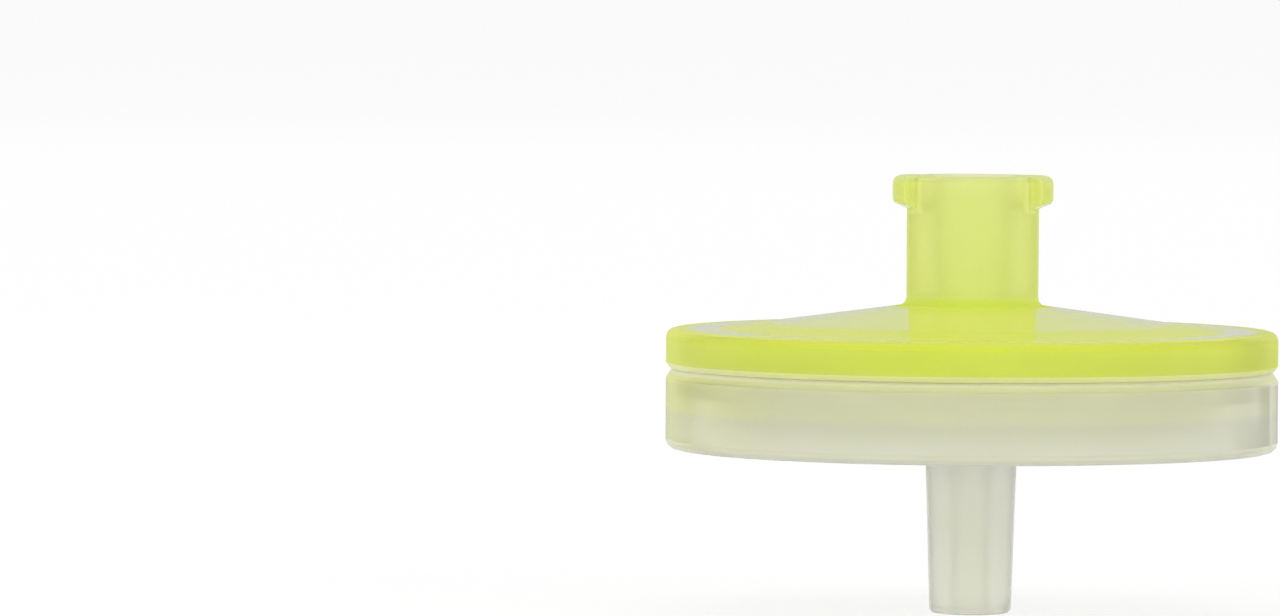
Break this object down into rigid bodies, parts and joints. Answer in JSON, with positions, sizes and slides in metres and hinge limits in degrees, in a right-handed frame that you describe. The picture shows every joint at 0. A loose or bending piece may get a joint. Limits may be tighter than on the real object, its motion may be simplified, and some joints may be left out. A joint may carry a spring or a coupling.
{
  "type": "syringe filter",
  "caption": "Round welded syringe filter with a luer-lock inlet hub, a domed coloured inlet half, a clamped membrane and a luer slip outlet stem.",
  "frame": {"origin": "centre of the outlet tip's end face, which is also the bottom centre of the whole part", "axes": "+Z along the flow axis from the outlet tip towards the inlet hub; the two lock lugs lie on +X and -X"},
  "size_m": [0.0298, 0.0298, 0.0213],
  "materials": {
    "inlet_plastic": "glossy yellow-green translucent polypropylene",
    "membrane": "matt white microporous film",
    "outlet_plastic": "glossy natural translucent polypropylene"
  },
  "bodies": {
    "root": {"inlet_housing": "inlet_plastic", "membrane": "membrane", "outlet_housing": "outlet_plastic"}
  },
  "joints": []
}
